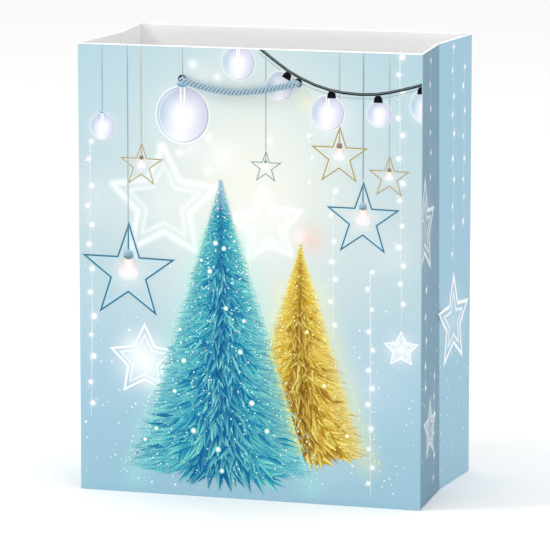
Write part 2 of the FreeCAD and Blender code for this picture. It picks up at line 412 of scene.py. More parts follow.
class Inks:
    """Ink shapes on one face, in (across, up). A lift above 0 lies over shapes with less."""

    def __init__(self, background):
        self.background = background
        self.count = 0
        self.points = []
        self.colours = []
        self.covers = []
        self.faces = []

    def add(self, points, colours, covers, faces, lift):
        """Adds one shape: a colour and a share of cover for each point, and a lift in millimetres."""
        points = np.asarray(points, float)
        count = len(points)
        spread = SPREAD * (len(self.points) * GOLDEN % 1)
        self.points.append(np.c_[points, np.broadcast_to(lift, count) + spread])
        self.colours.append(np.broadcast_to(colours, (count, 3)))
        self.covers.append(np.broadcast_to(covers, count))
        for face in faces:
            x, z = points[list(face)].T
            turn = np.sum(x * np.roll(z, -1) - z * np.roll(x, -1))
            ordered = face if turn > 0 else face[::-1]
            self.faces.append(tuple(self.count + i for i in ordered))
        self.count += count

    def ribbon(self, line, width, colour, cover=1.0, soft=SOFT_EDGE, closed=False, lift=0.0, step=12.0):
        """A stroke of ink along a line, with soft edges and mitred corners."""
        line = [np.array(p, float) for p in line]
        if closed:
            line.append(line[0])
        dense = [line[0]]
        for start, end in zip(line, line[1:]):
            parts = max(1, math.ceil(np.linalg.norm(end - start) / step))
            dense += [start + (end - start) * (i + 1) / parts for i in range(parts)]
        if closed:
            dense.pop()
        count = len(dense)
        half = width / 2
        offsets = (-half - soft, -half - soft / 2, -half, half, half + soft / 2, half + soft)
        points = []
        for i, here in enumerate(dense):
            into, out = self.directions(dense, i, closed)
            side = np.array([-(into + out)[1], (into + out)[0]])
            side = side / max(np.linalg.norm(side), 1e-6)
            stretch = 1 / max(0.3, side @ np.array([-into[1], into[0]]))
            points += [here + side * offset * stretch for offset in offsets]
        covers = np.tile([0.0, 0.4 * cover, cover, cover, 0.4 * cover, 0.0], count)
        wide = len(offsets)
        faces = []
        for i in range(count if closed else count - 1):
            for k in range(wide - 1):
                a = wide * i + k
                b = wide * ((i + 1) % count) + k
                faces.append((a, b, b + 1, a + 1))
        self.add(points, colour, covers, faces, lift)

    @staticmethod
    def directions(line, i, closed):
        """Unit directions into and out of a point of a line."""
        count = len(line)
        into = line[i] - line[i - 1] if closed or i > 0 else line[1] - line[0]
        out = line[(i + 1) % count] - line[i] if closed or i < count - 1 else into
        return into / np.linalg.norm(into), out / np.linalg.norm(out)

    def disc(self, across, up, radius, shares, shade, lift=0.0, sides=28, tall=1.0):
        """A round shape of rings. shade(share, angle) gives colours and covers."""
        share = np.r_[0.0, np.repeat(shares, sides)]
        angle = np.r_[0.0, np.tile(angles_round(sides), len(shares))]
        points = np.c_[across + radius * share * np.cos(angle), up + radius * share * np.sin(angle) * tall]
        colours, covers = shade(share, angle)
        faces = [(0, 1 + i, 1 + (i + 1) % sides) for i in range(sides)]
        faces += [(a, d, c, b) for a, b, c, d in ring_faces(len(shares) - 1, sides, 1)]
        self.add(points, colours, covers, faces, lift)

    def dot(self, across, up, radius, colour=WHITE, cover=1.0, lift=0.0):
        """A small round light with a soft edge."""

        def shade(share, angle):
            return colour, cover * np.interp(share, [0, 0.4, 0.7, 1], [1, 1, 0.55, 0])

        self.disc(across, up, radius * 1.4, [0.4, 0.7, 1.0], shade, lift, sides=14)

    def spot(self, across, up, radius, colour, lift, sides=6):
        """A tiny spot with a hard edge."""
        angles = angles_round(sides)
        points = np.c_[across + radius * np.cos(angles), up + radius * np.sin(angles)]
        self.add(points, colour, 1.0, [tuple(range(sides))], lift)

    def polygon(self, outline, colour, lift=0.0):
        """A filled outline, in one colour or a colour for each corner, with a soft edge."""
        outline = np.array(outline, float)
        middle = outline.mean(0)
        away = np.linalg.norm(outline - middle, axis=1)[:, None]
        outer = middle + (outline - middle) * (1 + SOFT_EDGE / away)
        count = len(outline)
        colours = np.broadcast_to(colour, (count, 3))
        covers = np.r_[np.ones(count), np.zeros(count)]
        faces = [tuple(range(count))]
        faces += [(i, count + i, count + (i + 1) % count, (i + 1) % count) for i in range(count)]
        self.add(np.r_[outline, outer], np.r_[colours, colours], covers, faces, lift)

    def piece(self, name, place, edges):
        """The finished object. place(across, up, lift) puts points on the bag. edges trim it."""
        across, up, lift = np.concatenate(self.points).T
        ground = self.background.at(across, up)
        colours = blend(ground, np.concatenate(self.colours), np.concatenate(self.covers))
        flat = np.c_[across, lift + FIRST_LIFT, up]
        piece = make_piece(name, flat, [face[::-1] for face in self.faces], [PRINT], colours=colours)
        trim(piece.data, edges)
        placed = mesh_points(piece.data)
        placed = place(placed[:, 0], placed[:, 2], placed[:, 1])
        piece.data.vertices.foreach_set("co", (placed * MM).astype(np.float32).ravel())
        piece.data.update()
        return piece


def trim(mesh, edges):
    """Cuts off what lies past (lowest across, highest across, lowest up, highest up)."""
    left, right, foot, top = edges
    planes = (
        ((left, 0, 0), (-1, 0, 0)),
        ((right, 0, 0), (1, 0, 0)),
        ((0, 0, foot), (0, 0, -1)),
        ((0, 0, top), (0, 0, 1)),
    )
    with editing(mesh) as cut:
        for place, normal in planes:
            everything = cut.verts[:] + cut.edges[:] + cut.faces[:]
            bmesh.ops.bisect_plane(cut, geom=everything, dist=1e-7, plane_co=Vector(place) * MM,
                                   plane_no=normal, clear_outer=True)


def star_outline(across, up, radius, waist=0.39, turn=0.0):
    """The ten corners of a five-pointed star, point up."""
    corners = []
    for i in range(10):
        reach = radius if i % 2 == 0 else radius * waist
        angle = math.pi / 2 + turn + math.pi * i / 5
        corners.append((across + reach * math.cos(angle), up + reach * math.sin(angle)))
    return corners


def towards(angle, degrees):
    """How much angles point a given way: 1 along it, and 0 from a right angle on."""
    return np.clip(np.cos(angle - math.radians(degrees)), 0, 1)


def glass(share, angle):
    """Clear glass: lilac at the top, blue at the left, and a dark line at the lower right."""
    edge = np.clip((share - 0.3) / 0.5, 0, 1)
    inner_rim = np.interp(share, [0.86, 0.89, 0.92, 1], [0, 1, 0, 0])
    line = np.interp(share, [0.915, 0.945, 0.97, 1], [0, 1, 0.1, 0])
    outer_rim = np.interp(share, [0.96, 0.985, 1.0], [0, 1, 1])
    colours = np.tile(ink("F6F5FC"), (len(share), 1))
    for code, cover in (
        ("B2B6D2", 0.9 * edge * towards(angle, 100) ** 2),
        ("A9C2DA", 0.9 * edge * towards(angle, 175) ** 2),
        ("C6C2E0", 0.8 * edge * towards(angle, 0)),
        ("FFFFFF", 0.8 * inner_rim * towards(angle, 165)),
        ("7F86A8", line * (0.25 + 0.75 * towards(angle, -30))),
        ("F6FAFB", outer_rim),
    ):
        colours = blend(colours, ink(code), cover)
    covers = np.interp(share, [0, 0.6, 0.94, 0.97, 1.03, 1.06], [0.97, 0.85, 0.85, 0.7, 0.5, 0])
    return colours, covers


GLASS_RINGS = [0.2, 0.35, 0.5, 0.6, 0.7, 0.78, 0.84, 0.87, 0.9, 0.92, 0.945, 0.97, 1.0, 1.03, 1.06]


def glass_ball(art, across, up, radius, lift, stems=True):
    """A clear glass bauble with the two bright wires in its neck."""
    art.background.light(across, up, radius * 1.7, cover=0.35)
    art.disc(across, up, radius, GLASS_RINGS, glass, lift, sides=56, tall=1.04)
    for angle in range(-60, 30, 10):
        a, b = (math.radians(angle + step) for step in (0, 10))
        line = [(across + radius * 0.955 * math.cos(t), up + radius * 0.99 * math.sin(t)) for t in (a, b)]
        art.ribbon(line, radius * 0.02, ink("8A8FAE"), cover=0.8, soft=0.1, lift=lift + 0.004)
    if stems:
        for shift in (-0.07, 0.07):
            x = across + shift * radius
            stem = [(x, up + radius), (x, up + radius * 0.4)]
            art.ribbon(stem, radius * 0.035, WHITE, soft=0.2, lift=lift + 0.006)


def bauble_cap(art, across, up, width, lift):
    """The domed blue cap that a bauble hangs from."""
    angles = angles_round(20)
    outline = [(across + width / 2 * math.cos(a), up + width * 0.22 * math.sin(a)) for a in angles]
    shades = [mix(ink("4F8CA8"), ink("BFE3F3"), 0.5 + 0.5 * math.sin(a + 0.5)) for a in angles]
    art.polygon(outline, shades, lift)


def lamp(art, across, up, size, socket, warm, lift):
    """A pear-shaped lamp under its round socket, for the middle of a star of a given size."""
    length = size * 0.5
    art.background.light(across, up - length * 0.62, size * 0.5, cover=0.55)
    steps = 14
    columns = (-1.3, -1.0, -0.7, 0.0, 0.7, 1.0, 1.3)
    points = []
    colours = []
    covers = []
    for step in range(steps + 1):
        t = step / steps
        flare = 0.085 + 0.1 * min(1.0, t / 0.6) ** 1.2
        closing = math.sqrt(max(0.02, 1 - max(0.0, (t - 0.62) / 0.4) ** 2))
        half = size * flare * closing
        for column in columns:
            points.append((across + half * column, up - length * t))
            colour = mix(mix(warm, WHITE, 1 - abs(column) / 1.3), ink("FBF2F6"), min(1.0, t * 1.35))
            colours.append(colour)
            fade = 0.0 if abs(column) > 1.2 else 0.95
            covers.append(fade * (1 - t**4))
    art.add(points, colours, covers, grid_faces(steps, len(columns)), lift)

    def ball(share, angle):
        light = 0.55 + 0.6 * share * towards(angle, 120) - 0.75 * share * towards(angle, -80)
        dark = np.tile(mix(socket, BLACK, 0.6), (len(share), 1))
        covers = np.interp(share, [0, 0.92, 1], [1, 1, 0])
        return blend(dark, mix(socket, WHITE, 0.2), np.clip(light, 0, 1)), covers

    rings = [0.4, 0.7, 0.85, 0.92, 1.0]
    art.disc(across, up + size * 0.05, size * 0.105, rings, ball, lift + 0.006, sides=24)
    foot = [(across - size * 0.1, up), (across + size * 0.1, up)]
    art.ribbon(foot, size * 0.035, mix(socket, BLACK, 0.55), cover=0.9, soft=0.1, lift=lift + 0.01)


def hanging_star(art, star, lift):
    """A wire star with a lamp in it, on a thread from the top of the bag."""
    across, up = star["at"]
    radius = star["radius"]
    line = star["line"]
    weight = star["weight"]
    apex = up + radius
    outline = star_outline(across, up, radius, turn=-0.015)
    glaze = star_outline(across, up, radius * 0.93, turn=-0.015)
    art.ribbon(glaze, radius * 0.03, star["glaze"], cover=0.4, soft=radius * 0.05, closed=True, lift=lift)
    art.ribbon([(across, TOP), (across, apex)], star["thread"], mix(line, WHITE, 0.15), cover=0.85, lift=lift)
    art.ribbon(outline, weight, line, soft=0.16, closed=True, lift=lift + 0.004)
    art.ribbon([(across, apex), (across, up + radius * 0.4)], weight * 0.85, line, lift=lift + 0.006)
    lamp(art, across, up + radius * 0.32, radius, star["socket"], star["warm"], lift + 0.008)


def blurred_star(background, across, up, radius, cover, width, turn=0.0):
    """A white star out of focus, drawn as two nested outlines."""
    for scale, strength in ((1.0, 1.0), (0.68, 0.7)):
        outline = star_outline(across, up, radius * scale, 0.5, turn)
        background.stroke(outline, width * scale, cover * strength)


def light_string(art, line, radius, rng, lift, spacing=11.0):
    """A faint thread with round lights on both sides of it and small sparks round it."""
    art.ribbon(line, 0.12, WHITE, cover=0.5, soft=0.25, lift=lift)
    heights = [p[1] for p in line]
    up = heights[0]
    way = 1
    while up > heights[-1]:
        across = np.interp(-up, [-h for h in heights], [p[0] for p in line])
        x = across + way * rng.uniform(0.3, 1.4)
        size = radius * rng.uniform(0.68, 0.94)
        art.background.light(x, up, size * 2.6, cover=0.6)
        art.dot(x, up, size, lift=lift + 0.004)
        for _ in range(2):
            art.dot(across + rng.uniform(-3.5, 3.5), up + rng.uniform(-spacing / 2, spacing / 2),
                    rng.uniform(0.2, 0.45), cover=0.7, lift=lift + 0.004)
        up -= spacing * rng.uniform(0.8, 1.25)
        way = -way


def tree_reach(share, tree):
    """Half the width of a brush tree at a share of its height below the tip."""
    return tree["half_width"] * (0.012 + 0.988 * share)


def tree_body(art, tree, shades, lift):
    """The shaded body of a brush tree, dark along the trunk and fading into the sky at its sides."""
    rows = 60
    columns = np.linspace(-1, 1, 21)
    grids = np.meshgrid(np.linspace(0, 1, rows + 1), columns, indexing="ij")
    share, column = (grid.ravel() for grid in grids)
    reach = tree_reach(share, tree) * 0.94
    drop = share - 0.035 * column**2 * share
    points = np.c_[tree["across"] + reach * column, tree["apex"] - tree["height"] * drop]
    away = np.abs(column)
    colours = blend(np.tile(shades["core"], (len(share), 1)), shades["body"], np.clip(away / 0.35, 0, 1))
    colours = blend(colours, shades["side"], np.clip((away - 0.3) / 0.5, 0, 1))
    colours = blend(colours, shades["frost"], 0.6 * np.clip(1 - share / 0.12, 0, 1))
    covers = np.interp(away, [0, 0.75, 0.9, 1], [1, 1, 0.55, 0]) * np.interp(share, [0, 0.93, 1], [1, 1, 0])
    faces = [(a, d, c, b) for a, b, c, d in grid_faces(rows, len(columns))]
    art.add(points, colours, covers, faces, lift)
    for share in np.linspace(0.2, 1, 12):
        for way in (-1, 1):
            x = tree["across"] + way * tree_reach(share, tree) * 0.95
            art.background.light(x, tree["apex"] - tree["height"] * share, 13, shades["tip"], 0.25)


def heading(angle):
    """A unit vector at an angle from straight down, and the one at its side."""
    along = np.array([math.sin(angle), -math.cos(angle)])
    return along, np.array([-along[1], along[0]])


def tree_needle(art, tree, shades, rng, lift):
    """One needle: down at the trunk, level at the sides, with a lighter tip."""
    share = rng.random() ** 0.6
    reach = tree_reach(share, tree)
    place = rng.uniform(-1, 1) * rng.uniform(0.9, 1.07)
    away = min(1.0, abs(place))
    angle = math.copysign(math.radians(84) * away**0.5, place) + rng.gauss(0, 0.13)
    along, normal = heading(angle)
    length = (1.6 + 0.24 * reach) * rng.uniform(0.6, 1.35)
    drop = tree["height"] * share * (1 - 0.03 * away**2)
    end = np.array([tree["across"] + place * reach, tree["apex"] - drop])
    base = end - along * length
    width = (0.28 + 0.05 * length) * rng.uniform(0.6, 1.3)
    waist = base + along * length * 0.4
    tone = rng.random()
    top = 0.6 * max(0.0, 1 - share / 0.12)
    dark = mix(shades["core"], shades["body"], min(1.0, away / 0.5))
    light = mix(shades["body"], shades["side"], min(1.0, 0.25 + away / 0.6))
    light = mix(light, shades["tip"], 0.5 * away**2)
    middle = mix(dark, light, tone)
    point = mix(middle, shades["tip"], (0.25 + 0.6 * away) * tone**1.5)
    paint = [mix(dark, middle, 0.4), mix(middle, dark, 0.4), point, mix(middle, point, 0.3)]
    paint = [mix(colour, shades["frost"], top) for colour in paint]
    shape = [base, waist - normal * width / 2, end, waist + normal * width / 2]
    covers = [1.0, 1.0, 1.0 - 0.55 * away**6, 1.0]
    order = 0.025 * (1 - away) + 0.015 * (1 - share) + rng.uniform(0, 0.01)
    art.add(shape, paint, covers, [(0, 1, 2), (0, 2, 3)], lift + order + np.array([0, 0.001, 0.004, 0.001]))


def tree_leaf(art, tree, shades, rng, share, lift):
    """One broad folded leaf low on the front of the tree: a lit half and a shaded half."""
    reach = tree_reach(share, tree)
    place = rng.gauss(0, 0.3)
    place = math.copysign(min(abs(place), 0.85), place)
    middle = np.array([tree["across"] + reach * place, tree["apex"] - tree["height"] * share])
    angle = place * 1.9 + rng.gauss(0, 0.28)
    along, normal = heading(angle)
    size = (3.6 + 7.5 * share) * rng.uniform(0.65, 1.2) * tree["leaf"]
    width = size * rng.uniform(0.3, 0.44) * (1 - 0.45 * abs(place))
    base = middle - along * size * 0.6
    end = middle + along * size * 0.5
    left = base + along * size * 0.4 + normal * width / 2
    right = base + along * size * 0.4 - normal * width / 2
    tone = rng.random()
    away = min(1.0, abs(place) / 0.45)
    lit = mix(shades["core"], shades["body"], 0.55 + 0.45 * tone)
    lit = mix(lit, shades["side"], tone * (0.35 + 0.65 * away))
    lit = mix(lit, shades["tip"], 0.4 * max(0.0, tone - 0.5))
    dim = mix(shades["core"], shades["body"], 0.05 + 0.5 * tone * away + 0.4 * away)
    point = mix(lit, shades["tip"], 0.2 + 0.75 * tone)
    if rng.random() < 0.5:
        left, right = right, left
    order = 0.04 * (1 - share) + rng.uniform(0, 0.008)
    lifts = lift + order + np.array([0, 0.002, 0.006])
    art.add([base, right, end], [mix(dim, lit, 0.2), lit, point], 1.0, [(0, 1, 2)], lifts)
    art.add([base, left, end], [dim, dim, mix(dim, lit, 0.7)], 1.0, [(0, 1, 2)], lifts)


def brush_tree(art, tree, rng, lift):
    """A bottle-brush tree: its shaded body, needles from the back to the front, leaves and frost."""
    shades = {key: ink(code) for key, code in tree["colours"].items()}
    tree_body(art, tree, shades, lift)
    for _ in range(tree["needles"]):
        tree_needle(art, tree, shades, rng, lift + 0.006)
    for _ in range(tree["leaves"]):
        tree_leaf(art, tree, shades, rng, 0.3 + 0.7 * rng.random() ** 0.8, lift + 0.06)
    top = lift + 0.118

    def frosted(share, angle):
        glow = np.interp(share, [0.35, 0.55, 0.75, 1], [0, 0.35, 0.75, 1])
        return blend(np.tile(WHITE, (len(share), 1)), shades["side"], glow), np.ones(len(share))

    for _ in range(tree["sparks"]):
        share = rng.random() ** 0.75
        place = rng.choice((-1, 1)) * (1.12 - rng.random() ** 1.4)
        across = tree["across"] + place * tree_reach(share, tree)
        up = tree["apex"] - tree["height"] * share + rng.uniform(-2, 2)
        spark = mix(shades["tip"], WHITE, tree["snow"] * rng.random())
        art.spot(across, up, rng.choice((0.18, 0.22, 0.26, 0.32, 0.45)), spark, top)
    for across, up, radius in tree["lights"]:
        art.disc(across, up, radius * 1.7, [0.35, 0.55, 0.75, 1.0], frosted, top + 0.006, sides=14)


def over_gold_tree(background):
    """The colours that the edges of the blue tree fade into: the sky, and the gold tree behind."""

    def ground(across, up):
        colours = background.at(across, up)
        share = (GOLD_TREE["apex"] - up) / GOLD_TREE["height"]
        reach = tree_reach(np.clip(share, 0, 1), GOLD_TREE)
        behind = (np.abs(across - GOLD_TREE["across"]) < 0.9 * reach) & (share > 0) & (share < 0.97)
        return blend(colours, ink(GOLD_TREE["colours"]["side"]), behind * 0.9)

    return Background(ground)


BLUE_TREE = {
    "across": -14.2,
    "apex": 163.0,
    "height": 154,
    "half_width": 49,
    "colours": {"core": "085088", "body": "1080AE", "side": "2AB2AE", "tip": "A2F6E6", "frost": "D3DCF2"},
    "needles": 8800,
    "leaves": 430,
    "leaf": 1.2,
    "sparks": 1200,
    "snow": 1.0,
    "lights": [(-17, 131, 1.0), (-12.5, 128.5, 0.9), (-24.5, 122, 0.7), (-20, 116.5, 1.0), (-11.5, 98, 0.9),
               (-4, 76, 1.0), (-34, 70, 1.1), (-39, 54, 0.9), (2, 50, 1.1), (-29, 34, 1.1), (-36, 86, 0.8),
               (10, 36, 1.0), (-49, 34, 0.9), (-16, 25, 1.1), (-55, 28, 0.9), (-2, 92, 0.8), (-14, 14, 0.9)],
}
GOLD_TREE = {
    "across": 27.5,
    "apex": 132.0,
    "height": 110,
    "half_width": 37,
    "colours": {"core": "6E4206", "body": "BC8A1C", "side": "F2DC48", "tip": "FFFBA0", "frost": "F6E67C"},
    "needles": 4600,
    "leaves": 240,
    "leaf": 1.0,
    "sparks": 480,
    "snow": 0.2,
    "lights": [(31, 88, 0.6), (40, 61, 0.7), (52, 36, 0.7)],
}
BLUE_STAR = {"line": ink("35728C"), "glaze": ink("A9DCF0"), "socket": ink("7FB2CC"), "warm": ink("D9A98F")}
GOLD_STAR = {"line": ink("A68F4C"), "glaze": ink("F2E6BE"), "socket": ink("8A6414"), "warm": ink("EBA65C")}
GREY_STAR = {"line": ink("6F9499"), "glaze": ink("DCE8E4"), "socket": ink("6E8F96"), "warm": ink("E9DCC8")}
HANGING_STARS = [
    {**BLUE_STAR, "at": (-63.5, 113.7), "radius": 25.0, "weight": 0.7, "thread": 0.34},
    {**GOLD_STAR, "at": (-56.3, 168.8), "radius": 11.2, "weight": 0.3, "thread": 0.3},
    {**GREY_STAR, "at": (9.3, 170.4), "radius": 8.0, "weight": 0.28, "thread": 0.4},
    {**GOLD_STAR, "at": (47.5, 177.4), "radius": 14.6, "weight": 0.42, "thread": 0.4},
    {**GOLD_STAR, "at": (73.2, 167.8), "radius": 10.4, "weight": 0.3, "thread": 0.3},
    {**BLUE_STAR, "at": (59.8, 145.8), "radius": 18.8, "weight": 0.58, "thread": 0.5},
]


def distance(rng):
    """What lies behind the trees: lights out of focus, blurred stars, threads of lights and snow."""
    background = Background(sky)
    glows = (
        (-44.5, 150, 32, 0.25), (9.7, 142, 24, 0.3), (-55, 68, 24, 0.6), (-47, 58, 13, 0.5),
        (-61, 76, 12, 0.4), (79.8, 81.5, 13, 0.5), (-14, 175, 14, 0.5), (-80, 150, 26, 0.2),
        (62, 60, 30, 0.15), (27.5, 136, 7, 0.9), (44, 20, 24, 0.12), (-30, 178, 11, 0.3),
        (44, 196, 17, 0.3), (-25, 214, 14, 0.35), (75, 128, 20, 0.2),
    )
    for across, up, radius, cover in glows:
        background.light(across, up, radius, cover=cover)
    background.light(32.5, 135, 13, ink("F4C3AE"), 0.6)
    background.light(30, 204, 10, ink("F6EFC6"), 0.5)
    art = Inks(background)
    blurred_star(background, -44.5, 150, 29, 0.62, 2.7)
    blurred_star(background, 9.7, 141, 19.5, 0.6, 2.2, turn=0.12)
    light_string(art, [(-83.6, 180), (-84, 140), (-83, 100), (-84, 38)], 1.45, rng, 0.008)
    light_string(art, [(78.4, 228), (78.6, 190), (79, 150), (80, 96)], 1.45, rng, 0.008, 10.5)
    light_string(art, [(63.6, 120), (64, 80), (63.8, 40), (64.4, 5)], 1.3, rng, 0.008, 10)
    light_string(art, [(44.6, 160), (44.4, 130), (44.6, 84)], 1.35, rng, 0.008, 11)
    light_string(art, [(33, 200), (32.4, 180), (32.4, 150)], 1.0, rng, 0.008, 13)
    soft_dots = ((-21, 184.5), (-16, 215), (-21, 167.5), (11, 184), (-29, 221), (-46, 179), (-36, 176))
    for across, up in soft_dots:
        art.background.light(across, up, 4, cover=0.8)
        art.dot(across, up, 1.0, cover=0.8, lift=0.01)
    for _ in range(170):
        art.dot(rng.uniform(-87, 87), rng.triangular(3, 130, 14), rng.uniform(0.25, 0.7),
                cover=rng.uniform(0.4, 0.9), lift=0.012)
    for across, up, radius in ((-55, 68.5, 18.7), (79.8, 81.5, 8.8)):
        outline = star_outline(across, up, radius, 0.5)
        inner = star_outline(across, up, radius * 0.72, 0.5)
        art.ribbon(outline, radius * 0.032, WHITE, cover=0.9, soft=0.5, closed=True, lift=0.014)
        art.ribbon(inner, radius * 0.022, WHITE, cover=0.7, soft=0.4, closed=True, lift=0.014)
        art.background.light(across, up, radius * 0.9, cover=0.7)
    return art


def front_picture():
    """The picture on the front and the back: two trees under stars, baubles and lights."""
    rng = random.Random(7)
    far = distance(rng)
    trees = Inks(far.background)
    brush_tree(trees, GOLD_TREE, rng, 0.02)
    blue = Inks(over_gold_tree(far.background))
    brush_tree(blue, BLUE_TREE, rng, 0.15)
    far.background.lights += blue.background.lights
    near = Inks(far.background)
    for across, up, radius in ((-77, 188, 6.6), (-34.3, 195.3, 14.0)):
        near.ribbon([(across, TOP), (across, up + radius)], 0.34, ink("8FA9BA"), cover=0.9, lift=0.03)
        glass_ball(near, across, up, radius, 0.034)
        bauble_cap(near, across, up + radius * 1.1, radius * 0.42, 0.05)
    garland(near)
    for star in HANGING_STARS:
        hanging_star(near, star, 0.03)
    return {"far": far, "gold_tree": trees, "blue_tree": blue, "near": near}


def garland(art):
    """A black cable along the top right, with glass lamps in black sockets."""
    path = [(6.3, 230), (13, 224.9), (20.5, 219.6), (27.5, 215.8), (34.7, 212.8), (42, 210.6),
            (49.7, 209.3), (58, 208.8), (66.3, 209.1), (73, 210.2), (79.7, 211.8), (85, 213.2), (90, 214.7)]
    art.ribbon([(x - 0.6, z - 2.2) for x, z in path], 0.22, ink("8D9A9C"), cover=0.7, lift=0.03, step=2)
    lamps = ((-5, 222.6, 8.6), (16.6, 211.4, 7.2), (41.4, 198.9, 8.6), (68, 199.4, 6.4), (92, 204, 8.4))
    sockets = ((20.4, 216.6, 0.5), (43.4, 207.8, 0.0), (67.4, 206.4, 0.0), (89.6, 211.4, 0.0))
    for across, up, radius in lamps:
        glass_ball(art, across, up, radius, 0.034, stems=radius > 8)
    art.ribbon(path, 1.35, BLACK, soft=0.08, lift=0.056, step=2)
    art.ribbon([(x, z + 0.2) for x, z in path], 0.12, ink("20272C"), lift=0.061, step=2)
    for across, up, lean in sockets:
        dome = [(2.1 * math.cos(a), 2.2 * math.sin(a)) for a in np.linspace(0, math.pi, 11)]
        shape = [*dome, (-2.3, -1.4), (2.3, -1.4)]
        cos = math.cos(lean)
        sin = math.sin(lean)
        art.polygon([(across + x * cos + z * sin, up - x * sin + z * cos) for x, z in shape], BLACK, 0.064)


def gusset_picture():
    """The picture on a gusset: threads of lights and blurred stars."""
    rng = random.Random(11)
    art = Inks(Background(gusset_sky))
    strings = ((21, 226, 98), (38, 214, 132), (-27, 224, 158), (-15, 62, 6), (-38, 110, 60))
    for across, high, low in strings:
        light_string(art, [(across, high), (across, low)], 1.4, rng, 0.004, 11)
    stars = ((22, 84, 24, 0.9, 1.1), (-42, 141, 25, 0.6, 1.3), (-26, 37, 15, 0.55, 1.0))
    for across, up, radius, cover, waist in stars:
        art.background.light(across, up, radius * 1.1, cover=0.25)
        outline = star_outline(across, up, radius, 0.45)
        inner = star_outline(across, up, radius * 0.62, 0.45)
        art.ribbon(outline, waist, WHITE, cover=cover, soft=0.8, closed=True, lift=0.01)
        art.ribbon(inner, waist * 0.7, WHITE, cover=cover * 0.8, soft=0.7, closed=True, lift=0.012)
    for _ in range(70):
        across = rng.uniform(-47, 47)
        up = rng.triangular(4, 120, 20)
        art.dot(across, up, rng.uniform(0.25, 0.7), cover=0.8, lift=0.008)
    return art


# === Walls ===

# How far a broad wall bulges, and the height above which its top board keeps it flat.
BULGE = 0.7
RIPPLE = 0.15
BULGE_TOP = 198
# The rounding of the wall's outer edges: how deep it is, and how wide.
ROUND = 0.3
ROUND_WIDE = 0.35
# The rope holes of a wall, as (across, up).
HOLES = [(-34.5, 213.4), (26.0, 213.4)]
HOLE_RADIUS = 2.2


def bulge(across, up):
    """How far a broad wall stands proud of flat: nothing at its edges or at the stiffened top."""
    side = np.cos(math.pi * np.clip(across / (2 * HALF_WIDTH), -0.5, 0.5)) ** 2
    rise = np.sin(math.pi * np.clip((up - FOOT) / (BULGE_TOP - FOOT), 0, 1)) ** 2
    ripple = RIPPLE * np.sin(0.045 * across + 1.3) * np.sin(0.06 * up + 0.4)
    return (BULGE + ripple) * side * rise


def facing(side):
    """1 for the front and the right side, and -1 for the back and the left side."""
    return 1 if side in ("front", "right") else -1


def on_wall(side):
    """A function that puts (across, up, lift) on the front or the back wall's outer face."""
    sign = facing(side)

    def place(across, up, lift):
        outwards = HALF_DEPTH + bulge(across, up) + lift
        return np.stack([sign * across, -sign * outwards, up], -1)

    return place


def spaced(low, high, step):
    """Even steps from low to high, both included."""
    return np.linspace(low, high, max(2, round((high - low) / step) + 1))


def sheet(name, columns, rows, place, materials, mirrored=False):
    """A closed sheet of paper. place(across, up, depth) gives its outer face, at depth 0, and inner, at 1.

    The second material, if there is one, is on the inner face. On a mirrored sheet the faces turn round.
    """
    across, up = (grid.ravel() for grid in np.meshgrid(columns, rows))
    points = np.concatenate([place(across, up, 0), place(across, up, 1)])
    wide = len(columns)
    tall = len(rows)
    half = wide * tall
    outer = grid_faces(tall - 1, wide)
    inner = [tuple(half + i for i in reversed(face)) for face in outer]
    loop = list(range(wide))
    loop += [r * wide + wide - 1 for r in range(1, tall)]
    loop += [(tall - 1) * wide + c for c in range(wide - 2, -1, -1)]
    loop += [r * wide for r in range(tall - 2, 0, -1)]
    rim = [(b, a, half + a, half + b) for a, b in zip(loop, loop[1:] + loop[:1])]
    faces = outer + inner + rim
    if mirrored:
        faces = [tuple(reversed(face)) for face in faces]
    backing = 1 if len(materials) > 1 else 0
    slots = [0] * len(outer) + [backing] * len(inner) + [0] * len(rim)
    return make_piece(name, points, faces, materials, slots, smooth=True)


def punch(piece, y_from, y_to):
    """Cuts the two rope holes through a closed piece. Their walls get its last material, the painted hole
    shade.
    """
    mesh = bmesh.new()
    radius = HOLE_RADIUS * MM
    length = abs(y_to - y_from) * MM
    for across, up in HOLES:
        place = Matrix.Translation((across * MM, (y_from + y_to) / 2 * MM, up * MM))
        place = place @ Matrix.Rotation(math.pi / 2, 4, "X")
        bmesh.ops.create_cone(mesh, cap_ends=True, segments=32, radius1=radius, radius2=radius,
                              depth=length, matrix=place)
    cutter_mesh = bpy.data.meshes.new("cutter")
    mesh.to_mesh(cutter_mesh)
    mesh.free()
    for entry in piece.data.materials:
        cutter_mesh.materials.append(entry)
    for face in cutter_mesh.polygons:
        face.material_index = len(piece.data.materials) - 1
    cutter = new_object("cutter", cutter_mesh)
    cut = piece.modifiers.new("holes", "BOOLEAN")
    cut.operation = "DIFFERENCE"
    cut.solver = "EXACT"
    cut.object = cutter
    graph = bpy.context.evaluated_depsgraph_get()
    result = bpy.data.meshes.new_from_object(piece.evaluated_get(graph))
    piece.modifiers.clear()
    old = piece.data
    piece.data = result
    result.name = piece.name
    bpy.data.meshes.remove(old)
    discard(cutter)


